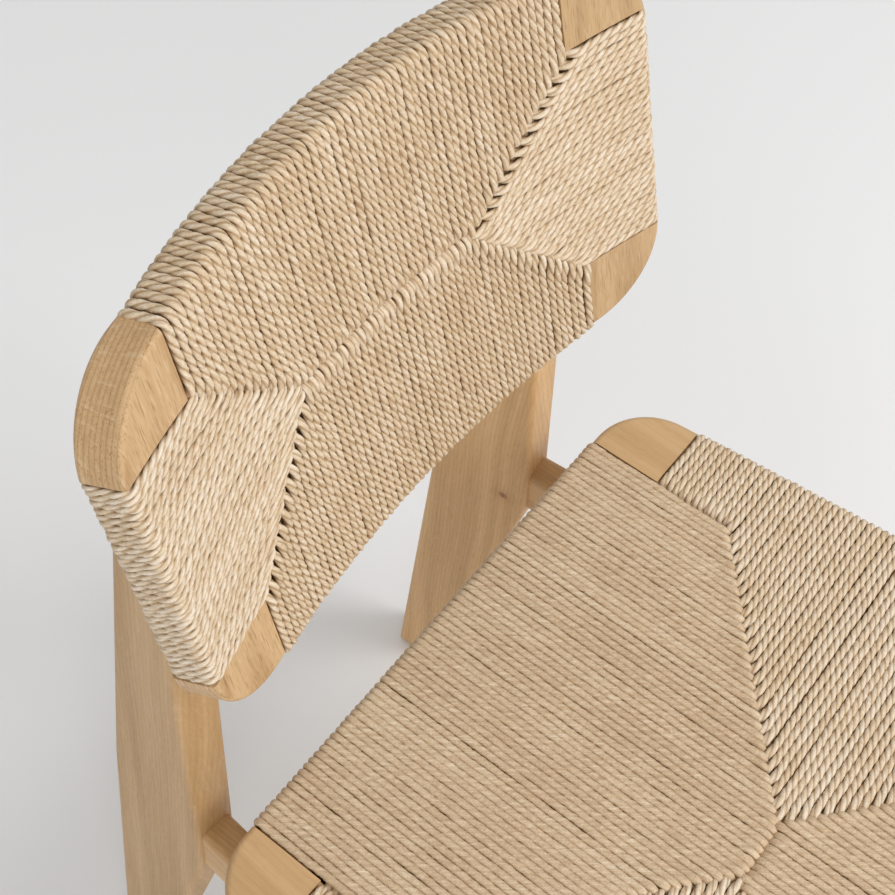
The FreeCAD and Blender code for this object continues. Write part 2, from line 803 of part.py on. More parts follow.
def side_rail_dowels(word, side):
    """Two dowels at each end of a side rail, along the rail."""
    dowels = []
    for joint in ("rear_knee_front", "front_top_back"):
        for height in rail_dowel_heights():
            start = vector(0, size(f"{joint} - frame_place - dowel_long / 2"), size(height))
            dowels.append(rod(f"side_dowel_{word}_{len(dowels)}", "dowel_wide", "dowel_long", start,
                              vector(0, 1, 0), side_frame(side)))
    return dowels


def front_leg_pegs(word, side):
    """Two upright dowels from a front leg into the seat frame that stands on it."""
    pegs = []
    for place in ("front_cross_place - peg_spread", "front_cross_place + peg_spread"):
        across = plank_middle(side, place, "seat_top - seat_thick") + side * size("peg_outward")
        start = vector(across, size(place), size("seat_top - seat_thick - dowel_long / 2"))
        pegs.append(rod(f"leg_peg_{word}_{len(pegs)}", "dowel_wide", "dowel_long", start, UP))
    return pegs


def front_cross_dowels(word, side):
    """Two dowels from the front cross rail into a front leg."""
    dowels = []
    for height in rail_dowel_heights():
        inward = side * size("leg_thick / 2 + dowel_long / 2")
        across = plank_middle(side, "front_cross_place", height) - inward
        start = vector(across, size("front_cross_place"), size(height))
        dowels.append(rod(f"cross_dowel_{word}_{len(dowels)}", "dowel_wide", "cross_dowel_long", start,
                          vector(side, 0, 0)))
    return dowels


def lap_dowel(word, side):
    """Upright dowel through the rear cross rail's lap into a side rail."""
    across = plank_middle(side, "rear_cross_place", "rail_top")
    start = vector(across, size("rear_cross_place"), size("rail_top - rear_cross_lap - dowel_long / 2"))
    return rod(f"lap_dowel_{word}", "dowel_wide", "dowel_long", start, UP)


def seat_screw(word, side):
    """Screw up through the rear cross rail into the seat frame, and the bore that its head sits in."""
    across = side * size("rear_cross_half - head_wide")
    foot = vector(across, size("rear_cross_place"), size("rail_top + head_high"))
    head = rod(f"seat_screw_head_{word}", "head_wide", "head_high", foot, UP)
    shank = rod(f"seat_screw_shank_{word}", "screw_wide", "seat_top - rail_top - 3 * head_high", foot, UP)
    mouth = vector(across, foot.y, size("rail_top - 2 * rear_cross_lap"))
    bore = rod(f"seat_bore_{word}", "head_wide + head_room", "2 * rear_cross_lap + 2 * head_high", mouth, UP)
    return joined(f"seat_screw_{word}", [head, shank]), bore


def foot_glides(word, side):
    """A glide under each foot of a side frame."""
    glides = []
    for place in ("rear_foot_back - foot_wide / 2", "front_foot_front + foot_wide / 2"):
        foot = side_frame(side).multVec(vector(0, size(f"{place} - frame_place"), 0))
        start = vector(foot.x, foot.y, 0)
        glides.append(rod(f"glide_{word}_{len(glides)}", "glide_wide", "glide_high", start, UP))
    return glides


# Fit the side frames to the seat, the backrest, the floor and their dowels
rear_bar = rear_cross()
front_bar = front_cross()
fixing_groups = ("side_frame_dowels", "front_leg_dowels", "cross_rail_dowels", "seat_screws", "back_plugs",
                 "foot_glides")
fixings = {name: [] for name in fixing_groups}
rear_cross_holes, front_cross_holes, front_stocks = [], [], []
for word, side in SIDES.items():
    rear_stock = rear_leg_plank(f"rear_leg_{word}", side)
    front_stock = front_leg_plank(f"front_leg_{word}", side)
    rail_stock = side_rail_bar(f"side_rail_{word}", side)
    rail_dowels = side_rail_dowels(word, side)
    pegs = front_leg_pegs(word, side)
    cross_dowels = front_cross_dowels(word, side)
    lap_peg = lap_dowel(word, side)
    screw, bore = seat_screw(word, side)
    rear_leg = cut(f"rear_leg_{word}_fitted", rear_stock, floor_space, back_space)
    rear_holes = group(f"rear_leg_holes_{word}", [*rail_dowels, *screws[word], *plug_bars[word]])
    nodes[f"rear_leg_{word}"] = cut(f"rear_leg_{word}", rear_leg, rear_holes)
    front_leg = cut(f"front_leg_{word}_fitted", front_stock, floor_space, seat_space)
    front_holes = group(f"front_leg_holes_{word}", [*rail_dowels, *pegs, *cross_dowels])
    nodes[f"front_leg_{word}"] = cut(f"front_leg_{word}", front_leg, front_holes)
    rail_holes = group(f"side_rail_holes_{word}", [*rail_dowels, lap_peg])
    nodes[f"side_rail_{word}"] = cut(
        f"side_rail_{word}", rail_stock, rear_stock, front_stock, rear_bar, rail_holes)
    fixings["side_frame_dowels"] += rail_dowels
    fixings["front_leg_dowels"] += pegs
    fixings["cross_rail_dowels"] += [*cross_dowels, lap_peg]
    fixings["seat_screws"].append(screw)
    fixings["back_plugs"] += [shared(f"{bar.Name}_trimmed", bar, rear_leg) for bar in plug_bars[word]]
    fixings["foot_glides"] += foot_glides(word, side)
    rear_cross_holes += [lap_peg, bore]
    front_cross_holes += cross_dowels
    front_stocks.append(front_stock)
for name, pieces in fixings.items():
    nodes[name] = group(name, pieces)
nodes["seat_frame_dowels"] = group("seat_frame_dowels", seat_dowels)
nodes["rear_cross_rail"] = cut(
    "rear_cross_rail", rear_bar, group("rear_cross_holes", rear_cross_holes), nodes["seat_screws"])
nodes["front_cross_rail"] = cut(
    "front_cross_rail", front_bar, *front_stocks, group("front_cross_holes", front_cross_holes))
for name, rail in seat_rails.items():
    holes = [nodes["seat_frame_dowels"]]
    if name in ("seat_left_rail", "seat_right_rail"):
        holes += [nodes["front_leg_dowels"], nodes["seat_screws"]]
    nodes[name] = cut(name, rail, *holes)

# Check every object and every piece, then write the pieces
doc.recompute()
for item in doc.Objects:
    if "Invalid" in item.State or "Error" in item.State:
        raise RuntimeError(f"{item.Name} failed: {item.State}")
for name, piece in nodes.items():
    piece.Label = name
    if piece.Shape.isNull() or not piece.Shape.isValid():
        raise RuntimeError(f"{name} has no valid shape")
os.makedirs("parts", exist_ok=True)
for name, piece in nodes.items():
    piece.Shape.exportStep(f"parts/{name}.step")
    box = piece.Shape.BoundBox
    corners = (box.XMin, box.YMin, box.ZMin, box.XMax, box.YMax, box.ZMax)
    print(name, len(piece.Shape.Solids), [round(place, 1) for place in corners])
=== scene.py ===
import math

import bpy
import numpy as np
from mathutils import Matrix, Vector


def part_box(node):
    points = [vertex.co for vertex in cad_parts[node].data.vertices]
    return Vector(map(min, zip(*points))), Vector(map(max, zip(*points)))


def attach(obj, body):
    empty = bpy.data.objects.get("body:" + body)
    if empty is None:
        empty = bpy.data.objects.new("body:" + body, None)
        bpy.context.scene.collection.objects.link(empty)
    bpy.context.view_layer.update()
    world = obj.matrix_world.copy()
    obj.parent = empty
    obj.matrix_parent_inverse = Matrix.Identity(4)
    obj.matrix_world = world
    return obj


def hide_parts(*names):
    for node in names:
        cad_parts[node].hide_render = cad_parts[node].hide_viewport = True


# Paper cord chair. Sizes are in millimetres in the chair's own frame, and become metres in the meshes.
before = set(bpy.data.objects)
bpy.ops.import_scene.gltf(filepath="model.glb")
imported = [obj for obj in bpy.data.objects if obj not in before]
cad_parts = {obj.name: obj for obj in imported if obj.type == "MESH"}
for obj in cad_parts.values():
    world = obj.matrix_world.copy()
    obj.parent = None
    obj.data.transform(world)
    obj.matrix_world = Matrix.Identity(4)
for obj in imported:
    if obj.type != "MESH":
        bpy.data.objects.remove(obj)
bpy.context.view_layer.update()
MM = 0.001

# Seat: outline and seams of the woven sections, the same as the seat's solids
SEAT_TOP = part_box("seat_cord_back")[1].z / MM
SEAT_THICK = SEAT_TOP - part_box("seat_cord_back")[0].z / MM
SEAT_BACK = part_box("seat_cord_back")[1].y / MM
SEAT_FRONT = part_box("seat_cord_front")[0].y / MM
WEAVE_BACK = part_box("seat_cord_left")[1].y / MM
WEAVE_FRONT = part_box("seat_cord_left")[0].y / MM
SEAT_HALF_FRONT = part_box("seat_cord_left")[1].x / MM
SEAT_SPLAY = 0.0894
INNER_HALF_BACK = 155.5
INNER_HALF_FRONT = 182.0
SEAM_KNEE = 35.0
SEAM_SIDE = 16.0
SEAM_MIDDLE = -84.0

# Backrest: an arc in plan that leans back, with crowned rims and the point where each end's seams meet
WOOD_RADIUS = 516.0
FACE_PROUD = 1.2
BACK_RADIUS = WOOD_RADIUS - FACE_PROUD
BACK_THICK = 22.7
BACK_PLACE = 163.3
BACK_HEIGHT = 698.0
RECLINE = math.radians(12.5)
BACK_END = WOOD_RADIUS * math.radians(18.9)
BACK_INNER_HALF = 64.5
BACK_INNER_WIDE = WOOD_RADIUS * math.asin(122.0 / WOOD_RADIUS)
TOP_RIM = 103.0
TOP_CROWN = 18.5
BOTTOM_RIM = 109.5
BOTTOM_CROWN = 6.0
RIM_STRAIGHT = 0.9
SEAM_LEFT = (55.0, 3.0)
SEAM_RIGHT = (-62.0, 8.0)

# Paper cord: three plies twisted to the left, with radii by section and grooves as shares of the radius
SEAT_CORD = 2.44
SIDE_CORD = 2.5
BACK_CORD = 2.17
END_CORD = 2.07
CORD_PROUD = 0.7
PLIES = 3
PLY_POINTS = 5
SEAT_GROOVE = 0.08
SIDE_GROOVE = 0.18
BACK_GROOVE = 0.24
END_GROOVE = 0.36
GROOVE_SHARP = 2.2
TWIST_LENGTH = 18.6
WRAP_RADIUS = 3.6
RING_STEP = 1.1
ARC_POINTS = 9
CORNER_ROOM = 0.49
MAX_RINGS = 6400

# Seams: cords loop over them or dive under, untwist there, and are pulled sideways at their ends
LOOP_RADIUS = 2.8
LOOP_REACH = 0.8
LOOP_RISE = 1.0
MIDDLE_RISE = 1.9
LOOP_LONG = 11.0
EASE_RADIUS = 20.0
DIVE_RADIUS = 6.0
DIVE_LONG = 4.6
FAR_DIVE = 9.0
DIVE_DEEP = 8.0
SHOULDER = 1.0
SEAM_UNTWIST = 0.75
SEAM_PULL = 2.2
TIP_PULL = 4.2
ALONG_PULL = -3.0
SEAM_PULL_LONG = 13.0
SLOPE_STEP = 0.5

# Hidden runs inside a panel: the step between their rings, and their depth under each face
INNER_STEP = 12.0
INNER_DEPTH = 5.6

# Unevenness: gaps as shares of the spacing, and slow waves along a cord as a height and a length
WOOD_GAP = 0.78
LOOSE = 0.04
END_LOOSE = 0.07
SEAT_LOOSE = 0.055
ODD_GAP = 0.08
ODD_SHARE = 0.07
LAST_STRAY = 0.25
ROUGHNESS = 0.09
SMOOTH_PASSES = 2
WIDE_SWAY = (0.13, 9.0)
FINE_SWAY = (0.1, 4.0)
SINK_WAVE = (0.1, 7.0)
SINK_EACH = 0.12
TWIST_WAVE = (0.35, 27.0)
START_STEP = 0.8
START_SPREAD = 0.5
SEED = 7

# Painted shade and light: where round a cord the painted shade of the gap beside it starts and stops, the
# painted lightness of hidden runs, how much of the ply grooves' painted shade the seat keeps, and tones of
# whole sections and of the middle seam's loops: painted shade on the seat's lengthwise cords, painted sheen
# on cords that run across, a painted highlight on the loops
GAP_SHADE_START = -0.25
GAP_SHADE_END = 0.45
INNER_PAINTED_LIGHTNESS = 0.2
SEAT_GROOVE_SHADE = 0.45
SEAT_PAINTED_SHADE = -4.0
CROSS_PAINTED_SHEEN = 3.4
MIDDLE_PAINTED_LIGHT = 3.2

# Strips to paint on: the margins left at a strip's sides and ends, as shares of it
STRIP_EDGE = 0.04
STRIP_END = 0.01


def back_point(across, up, depth):
    """Chair frame places of points on the backrest: along its arc, up its lean and in from its front face."""
    turn = across / WOOD_RADIUS
    x = (BACK_RADIUS + depth) * np.sin(turn)
    y = (BACK_RADIUS + depth) * np.cos(turn) - WOOD_RADIUS
    return np.stack([x,
                     BACK_PLACE + y * math.cos(RECLINE) + up * math.sin(RECLINE),
                     BACK_HEIGHT - y * math.sin(RECLINE) + up * math.cos(RECLINE)], axis=-1)


def seat_point(x, y, depth):
    """Chair frame places of points at a depth under the seat's top face."""
    return np.stack([x, y, SEAT_TOP - depth], axis=-1)


# A section's cords run out to its rail, in lanes side by side, at a depth under its face.
# A seam or rim gives the run at which a lane meets it.
def seat_side_edge(y):
    return SEAT_HALF_FRONT - SEAT_SPLAY * (y - WEAVE_FRONT)


def seat_back_seam(x):
    return np.interp(abs(x), [SEAM_SIDE, INNER_HALF_BACK], [SEAM_MIDDLE, SEAM_KNEE])


def seat_front_seam(x):
    return np.interp(abs(x), [SEAM_SIDE, INNER_HALF_FRONT], [-SEAM_MIDDLE, -WEAVE_FRONT])


def seat_side_seam(y):
    return np.interp(y, [WEAVE_FRONT, SEAM_MIDDLE, SEAM_KNEE], [INNER_HALF_FRONT, SEAM_SIDE, INNER_HALF_BACK])


def back_level_seam(sign):
    def seam(u):
        heights = [sign * BACK_INNER_HALF, SEAM_RIGHT[1], SEAM_LEFT[1], sign * BACK_INNER_HALF]
        return sign * np.interp(u, [-BACK_INNER_WIDE, SEAM_RIGHT[0], SEAM_LEFT[0], BACK_INNER_WIDE], heights)
    return seam


def back_end_seam(point):
    def seam(v):
        return np.interp(v, [-BACK_INNER_HALF, point[1], BACK_INNER_HALF],
                         [BACK_INNER_WIDE, abs(point[0]), BACK_INNER_WIDE])
    return seam


def crowned(rim, crown):
    """A rim that rises straight from its ends and joins them with a curve that meets the lines smoothly."""
    def edge(u):
        share = np.minimum(abs(u) / BACK_INNER_WIDE, 1)
        curve = 1 - RIM_STRAIGHT / 2 - share ** 2 / (2 * RIM_STRAIGHT)
        return rim + crown * np.where(share > RIM_STRAIGHT, 1 - share, curve)
    return edge


def straight(place):
    return lambda lane: place + 0 * lane


# A section's "over" says where its cords loop over the seam; elsewhere they dive under the cords beyond it.
# Some sections add painted light to their cords' tone: painted shade on the seat's lengthwise cords and a
# painted sheen on cords that run across.
SECTIONS = {
    "seat_cord_back": dict(
        count=70, span=(-INNER_HALF_BACK, INNER_HALF_BACK), seam=seat_back_seam, edge=straight(SEAT_BACK),
        place=lambda run, lane, deep: seat_point(lane, run, deep), thick=SEAT_THICK,
        radius=SEAT_CORD, groove=SEAT_GROOVE, loose=SEAT_LOOSE, plies=SEAT_GROOVE_SHADE, painted_light=SEAT_PAINTED_SHADE,
        pull=lambda lane: 0, over=lambda lane: True),
    "seat_cord_front": dict(
        count=83, span=(-INNER_HALF_FRONT, INNER_HALF_FRONT), seam=seat_front_seam,
        edge=straight(-SEAT_FRONT),
        place=lambda run, lane, deep: seat_point(lane, -run, deep), thick=SEAT_THICK,
        radius=SEAT_CORD, groove=SEAT_GROOVE, loose=SEAT_LOOSE, plies=SEAT_GROOVE_SHADE, painted_light=SEAT_PAINTED_SHADE,
        pull=lambda lane: 0, over=lambda lane: abs(lane) > SEAM_SIDE),
    "seat_cord_left": dict(
        count=69, span=(WEAVE_FRONT, WEAVE_BACK), seam=seat_side_seam, edge=seat_side_edge,
        place=lambda run, lane, deep: seat_point(run, lane, deep), thick=SEAT_THICK,
        radius=SIDE_CORD, groove=SIDE_GROOVE, painted_light=CROSS_PAINTED_SHEEN, over=lambda lane: False),
    "seat_cord_right": dict(
        count=69, span=(WEAVE_FRONT, WEAVE_BACK), seam=seat_side_seam, edge=seat_side_edge,
        place=lambda run, lane, deep: seat_point(-run, lane, deep), thick=SEAT_THICK,
        radius=SIDE_CORD, groove=SIDE_GROOVE, painted_light=CROSS_PAINTED_SHEEN, over=lambda lane: False),
    "back_cord_top": dict(
        count=57, span=(-BACK_INNER_WIDE, BACK_INNER_WIDE), seam=back_level_seam(1),
        edge=crowned(TOP_RIM, TOP_CROWN),
        place=lambda run, lane, deep: back_point(lane, run, deep), thick=BACK_THICK,
        radius=BACK_CORD, groove=BACK_GROOVE,
        pull=lambda lane: 0 if lane > SEAM_LEFT[0] else SEAM_PULL, over=lambda lane: lane > SEAM_LEFT[0]),
    "back_cord_bottom": dict(
        count=57, span=(-BACK_INNER_WIDE, BACK_INNER_WIDE), seam=back_level_seam(-1),
        edge=crowned(BOTTOM_RIM, BOTTOM_CROWN),
        place=lambda run, lane, deep: back_point(lane, -run, deep), thick=BACK_THICK,
        # Painted highlight on the loops along the middle seam, fading away from it.
        radius=BACK_CORD, groove=BACK_GROOVE, stray=LAST_STRAY, rise=MIDDLE_RISE, painted_loop_light=MIDDLE_PAINTED_LIGHT,
        pull=lambda lane: TIP_PULL, over=lambda lane: SEAM_RIGHT[0] < lane < SEAM_LEFT[0]),
    "back_cord_left": dict(
        count=30, span=(-BACK_INNER_HALF, BACK_INNER_HALF), seam=back_end_seam(SEAM_LEFT),
        edge=straight(BACK_END),
        place=lambda run, lane, deep: back_point(run, lane, deep), thick=BACK_THICK,
        radius=BACK_CORD, groove=BACK_GROOVE, painted_light=CROSS_PAINTED_SHEEN, odd_gap=0, dive=FAR_DIVE,
        pull=lambda lane: 0 if lane < SEAM_LEFT[1] else TIP_PULL, over=lambda lane: lane < SEAM_LEFT[1]),
    "back_cord_right": dict(
        count=30, span=(-BACK_INNER_HALF, BACK_INNER_HALF), seam=back_end_seam(SEAM_RIGHT),
        edge=straight(BACK_END),
        place=lambda run, lane, deep: back_point(-run, lane, deep), thick=BACK_THICK,
        radius=END_CORD, groove=END_GROOVE, painted_light=CROSS_PAINTED_SHEEN, loose=END_LOOSE,
        pull=lambda lane: ALONG_PULL if lane < SEAM_RIGHT[1] else SEAM_PULL, over=lambda lane: True),
}
FACING = [("seat_cord_left", "seat_cord_right"), ("seat_cord_back", "seat_cord_front"),
          ("back_cord_left", "back_cord_right"), ("back_cord_top", "back_cord_bottom")]


def rounded_path(corners, radii, step):
    """Evenly spaced points along a line of corners in a plane, each inner corner rounded by its radius."""
    points = [corners[0]]
    for before, corner, after, radius in zip(corners, corners[1:], corners[2:], radii):
        back = (before - corner) / np.linalg.norm(before - corner)
        ahead = (after - corner) / np.linalg.norm(after - corner)
        half = math.acos(np.clip(back @ ahead, -1, 1)) / 2
        room = CORNER_ROOM * min(np.linalg.norm(before - corner), np.linalg.norm(after - corner))
        reach = min(radius / math.tan(half), room)
        middle = corner + (back + ahead) / np.linalg.norm(back + ahead) * (reach / math.cos(half))
        first = corner + back * reach - middle
        last = corner + ahead * reach - middle
        turn = math.pi - 2 * half
        for share in np.linspace(0, 1, ARC_POINTS):
            swing = first * math.sin((1 - share) * turn) + last * math.sin(share * turn)
            points.append(middle + swing / math.sin(turn))
    points.append(corners[-1])
    points = np.array(points)
    lengths = np.concatenate([[0], np.cumsum(np.linalg.norm(np.diff(points, axis=0), axis=1))])
    marks = np.linspace(0, lengths[-1], max(int(lengths[-1] / step), 2) + 1)
    return np.stack([np.interp(marks, lengths, points[:, axis]) for axis in (0, 1)], axis=1), marks


def cord_line(section, lane):
    """A cord's centre line: up out of the seam, along the face, round the rail and back behind."""
    seam = float(section["seam"](lane))
    depth = section["radius"] - CORD_PROUD
    outer = float(section["edge"](lane)) - depth
    rise = section.get("rise", LOOP_RISE)
    if section["over"](lane):
        face = [(seam - LOOP_REACH, DIVE_DEEP), (seam - LOOP_REACH, depth - rise)]
        bends = [LOOP_RADIUS, EASE_RADIUS]
    else:
        face = [(seam, DIVE_DEEP), (seam + section.get("dive", DIVE_LONG), depth - SHOULDER * rise)]
        bends = [DIVE_RADIUS, EASE_RADIUS]
    face += [(face[-1][0] + LOOP_LONG, depth), (outer, depth)]
    behind = [(run, section["thick"] - deep) for run, deep in reversed(face)]
    radii = bends + [WRAP_RADIUS, WRAP_RADIUS] + bends[::-1]
    return rounded_path(np.array(face + behind), radii, RING_STEP)


def spread(section, random):
    """A section's lanes, with small uneven gaps; the last may stray towards the wood."""
    low, high = section["span"]
    stray = section.get("stray", 0)
    gaps = 1 + section.get("loose", LOOSE) * random.standard_normal(section["count"] + 1)
    gaps[random.random(section["count"] + 1) < ODD_SHARE] += section.get("odd_gap", ODD_GAP)
    gaps[0] = gaps[-1] = WOOD_GAP
    gaps[-2] += stray
    gaps[-1] -= stray
    return low + (high - low) * np.cumsum(gaps)[:-1] / gaps.sum()


def ply_shape(groove):
    """Angles round a cord, its share of the full radius there, and how near each is to the top of a ply,
    which sets its painted lightness: painted shade in the grooves.
    """
    count = PLIES * PLY_POINTS
    angles = np.arange(count) * 2 * math.pi / count
    from_groove = (np.arange(count) % PLY_POINTS) / PLY_POINTS
    off_crest = abs(2 * from_groove - 1)
    return angles, 1 - groove * off_crest ** GROOVE_SHARP, 1 - off_crest


def is_mirrored(section):
    """Whether a section's own directions are left-handed in the chair's frame."""
    lane = sum(section["span"]) / 2
    middle = np.array([float(section["edge"](lane)) / 2, lane, section["thick"] / 2])
    places = [section["place"](*(middle + step)[:, None])[0] for step in np.vstack([np.zeros(3), np.eye(3)])]
    return np.linalg.det(np.array(places[1:]) - places[0]) < 0


def smoothed(values):
    """Values eased along their first axis."""
    for _ in range(SMOOTH_PASSES):
        padded = np.concatenate([values[:1], values, values[-1:]])
        values = (padded[:-2] + 2 * padded[1:-1] + padded[2:]) / 4
    return values


def wave(marks, shape, phase):
    """A slow wave along a cord, whose shape is a height and a length."""
    height, length = shape
    return height * np.sin(marks / length + phase)


def cord_rings(section, lane, start, random, mirrored):
    """Points of one twisted cord by ring, each ring's length and tone, and each point's painted lightness:
    painted shade in its ply grooves and on its flanks in the gap beside the next cord.
    """
    line, marks = cord_line(section, lane)
    along = np.gradient(line, marks, axis=0)
    along /= np.linalg.norm(along, axis=1)[:, None]
    slope = float(section["seam"](lane + SLOPE_STEP) - section["seam"](lane - SLOPE_STEP)) / (2 * SLOPE_STEP)
    from_seam = np.clip((line[:, 0] - float(section["seam"](lane))) / SEAM_PULL_LONG, 0, 1)
    phases = random.random(4) * 2 * math.pi
    pull = section["pull"](lane) if "pull" in section else SEAM_PULL
    sideways = lane + pull * math.tanh(slope) * (1 - from_seam) ** 2
    sideways += wave(marks, WIDE_SWAY, phases[0]) + wave(marks, FINE_SWAY, phases[1])
    sink = wave(marks, SINK_WAVE, phases[2]) + SINK_EACH * random.standard_normal()
    pace = (1 - SEAM_UNTWIST * (1 - from_seam)) * np.gradient(marks)
    twist = np.cumsum(pace) * 2 * math.pi / TWIST_LENGTH + wave(marks, TWIST_WAVE, phases[3])
    angles, shares, painted_lightness = ply_shape(section["groove"])
    turned = angles[None, :] + (-1 if mirrored else 1) * twist[:, None] + start
    rough = smoothed(random.standard_normal((len(marks), len(angles))))
    radii = section["radius"] * shares * (1 + ROUGHNESS * rough)
    out = radii * np.cos(turned)
    side = radii * np.sin(turned)
    run = line[:, 0, None] - out * along[:, 1, None]
    deep = line[:, 1, None] + out * along[:, 0, None] + sink[:, None]
    # A cord's tone: random for each cord, plus the painted shade or painted sheen its section carries and,
    # near the middle seam, a painted highlight on its loops.
    tones = section.get("painted_light", 0) + section.get("painted_loop_light", 0) * (1 - from_seam) + random.standard_normal()
    # Painted shade: darker in the ply grooves, weakened by a section's own share, and on the flanks that turn
    # into the gap beside the next cord.
    painted_lit_share = 1 - section.get("plies", 1) * (1 - painted_lightness)
    painted_lit_share = painted_lit_share * np.clip((-np.cos(turned) - GAP_SHADE_START) / (GAP_SHADE_END - GAP_SHADE_START), 0, 1)
    return section["place"](run, sideways[:, None] + side, deep), marks, tones, painted_lit_share


def inner_rings(section, opposite, lane, depth):
    """Points of one hidden run inside a panel, from a section's seam to the seam of the section facing it."""
    start = -float(opposite["seam"](lane)) - DIVE_LONG
    end = float(section["seam"](lane)) + DIVE_LONG
    marks = np.linspace(0, end - start, int((end - start) / INNER_STEP) + 2)
    angles = ply_shape(section["groove"])[0]
    side = section["radius"] * np.sin(angles)[None, :] + 0 * marks[:, None]
    out = section["radius"] * np.cos(angles)[None, :] + 0 * marks[:, None]
    rings = section["place"](start + marks[:, None] + 0 * side, lane + side, depth + out)
    # Hidden runs get a low painted lightness: painted shade inside the panel.
    return rings, marks, 0 * marks, 0 * side + INNER_PAINTED_LIGHTNESS


def add_object(name, data):
    added = bpy.data.objects.new(name, data)
    bpy.context.scene.collection.objects.link(added)
    return added


def tube_faces(rings, sides, first, flip):
    """Quads round a tube whose vertices start at first, and the two faces that close its ends."""
    ring, side = np.meshgrid(np.arange(rings - 1), np.arange(sides), indexing="ij")
    a = first + ring * sides + side
    b = first + ring * sides + (side + 1) % sides
    quads = np.stack([a, b, b + sides, a + sides], axis=-1).reshape(-1, 4)
    near = list(range(first + sides - 1, first - 1, -1))
    far = list(range(first + (rings - 1) * sides, first + rings * sides))
    if flip:
        return quads[:, ::-1], near[::-1], far[::-1]
    return quads, near, far


def cord_mesh(name, cords, flip):
    """One mesh of many cords, with each cord's tone, the painted shade of its grooves and gaps, and a strip
    of its own to paint on.
    """
    sides = PLIES * PLY_POINTS
    points, faces, painted_lit_shares, tones, lengths, strips = [], [], [], [], [], []
    first = 0
    for index, (rings, marks, ring_tones, painted_lit_share) in enumerate(cords):
        count = len(marks)
        quads, near, far = tube_faces(count, sides, first, flip)
        faces += quads.tolist() + [near, far]
        points.append(rings.reshape(-1, 3))
        painted_lit_shares.append(painted_lit_share.ravel())
        tones.append(np.repeat(ring_tones, sides))
        ring, side = np.meshgrid(np.arange(count - 1), np.arange(sides), indexing="ij")
        u = np.stack([side, side + 1, side + 1, side], axis=-1) / sides
        v = np.stack([marks[ring], marks[ring], marks[ring + 1], marks[ring + 1]], axis=-1)
        if flip:
            u = u[..., ::-1]
            v = v[..., ::-1]
        caps = np.zeros(2 * sides)
        along = np.concatenate([v.ravel() * MM + ring_tones[0], caps])
        lengths.append(np.stack([along, np.concatenate([u.ravel(), caps])], axis=-1))
        strip_u = (index + STRIP_EDGE + (1 - 2 * STRIP_EDGE) * u.ravel()) / len(cords)
        strip_v = STRIP_END + (1 - 2 * STRIP_END) * v.ravel() / marks[-1]
        corner = np.full(2 * sides, (index + 0.5) / len(cords))
        strip_u = np.concatenate([strip_u, corner])
        strip_v = np.concatenate([strip_v, caps + STRIP_END / 2])
        strips.append(np.stack([strip_u, strip_v], axis=-1))
        first += count * sides
    mesh = bpy.data.meshes.new(name)
    mesh.from_pydata(np.concatenate(points) * MM, [], faces)
    mesh.shade_smooth()
    for layer, values in (("OFBake", strips), ("Cord", lengths)):
        corners = np.concatenate(values).astype(np.float32).ravel()
        mesh.uv_layers.new(name=layer).data.foreach_set("uv", corners)
    for layer, values in (("painted_lightness", painted_lit_shares), ("tone", tones)):
        attribute = mesh.attributes.new(layer, "FLOAT", "POINT")
        attribute.data.foreach_set("value", np.concatenate(values).astype(np.float32))
    return add_object(name, mesh)


def add_cords(name, cords, flip, material, *nodes):
    """A piece of cords that stands for the named solids."""
    piece = cord_mesh(name, cords, flip)
    piece.data.materials.append(material)
    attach(piece, "root")
    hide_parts(*nodes)


def woven_section(name, section, material, random):
    """All the cords of one section, in pieces of a limited size."""
    mirrored = is_mirrored(section)
    groups = [[]]
    held = 0
    start = 0.0
    for lane in spread(section, random):
        start += START_STEP + START_SPREAD * random.standard_normal()
        cord = cord_rings(section, lane, start, random, mirrored)
        rings = len(cord[0])
        if held + rings > MAX_RINGS:
            groups.append([])
            held = 0
        groups[-1].append(cord)
        held += rings
    for number, cords in enumerate(groups, start=1):
        add_cords(f"{name}_{number}", cords, mirrored, material, name)


def inner_runs(first, second, material):
    """The hidden runs of cord between two facing sections, close under the panel's front and back faces."""
    section = SECTIONS[first]
    lanes = np.linspace(*section["span"], section["count"] + 2)[1:-1]
    depths = (INNER_DEPTH, section["thick"] - INNER_DEPTH)
    cords = [inner_rings(section, SECTIONS[second], lane, depth) for depth in depths for lane in lanes]
    add_cords(f"{first}_inner", cords, is_mirrored(section), material, first, second)


# Paper's look: noise scales round and along a cord or in the chair's frame, their shares, and shades by level
CORD_STREAKS = (170.0, 20.0, 1.0)
CORD_PATCHES = (45.0, 6.0, 1.0)
CORD_SPECKS = (700.0, 700.0, 700.0)
CORD_DRIFT = (18.0, 18.0, 18.0)
CORD_SHARES = (0.36, 0.24, 0.26, 0.14, 0.014)
CORD_SHADES = [(0.37, (0.53, 0.38, 0.235)), (0.5, (0.68, 0.53, 0.36)), (0.63, (0.80, 0.70, 0.575))]
# Painted shade in the ply grooves and the gaps between cords; the tops of the plies stay lightest.
PAINTED_GROOVE_SHADE = [(0.0, (0.58, 0.47, 0.35)), (0.4, (0.94, 0.92, 0.88)), (0.8, 1.0)]
CORD_ROUGH = [(0.3, 0.58), (0.7, 0.76)]
CORD_RELIEF = {"Strength": 0.6, "Distance": 0.0005}

